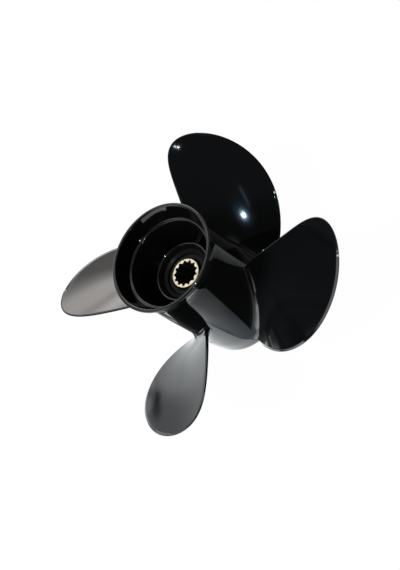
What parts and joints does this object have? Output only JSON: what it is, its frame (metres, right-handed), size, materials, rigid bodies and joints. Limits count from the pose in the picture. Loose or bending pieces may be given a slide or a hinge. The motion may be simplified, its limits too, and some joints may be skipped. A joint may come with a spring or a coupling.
{
  "type": "boat propeller",
  "caption": "Right-hand boat propeller with swept, raked blades on a through-hub exhaust barrel, a flared aft ring, a rubber bushing and a splined brass sleeve.",
  "frame": {"origin": "on the shaft's line, at the plane of the hub's forward rim, which the part stands on", "axes": "+Z along the shaft's line, pointing aft, towards the flared ring; +Y along blade 1; +X along blade 2"},
  "size_m": [0.26, 0.26, 0.134],
  "materials": {
    "black_enamel": "gloss black enamel on cast aluminium",
    "black_rubber": "matt black rubber",
    "pale_brass": "machined pale brass"
  },
  "bodies": {
    "root": {"hub_barrel": "black_enamel", "exhaust_flare_ring": "black_enamel", "inner_hub_tube": "black_enamel", "hub_rib_1": "black_enamel", "hub_rib_2": "black_enamel", "hub_rib_3": "black_enamel", "hub_rib_4": "black_enamel", "blade_1": "black_enamel", "blade_2": "black_enamel", "blade_3": "black_enamel", "blade_4": "black_enamel", "rubber_bushing": "black_rubber", "splined_sleeve": "pale_brass"}
  },
  "joints": []
}
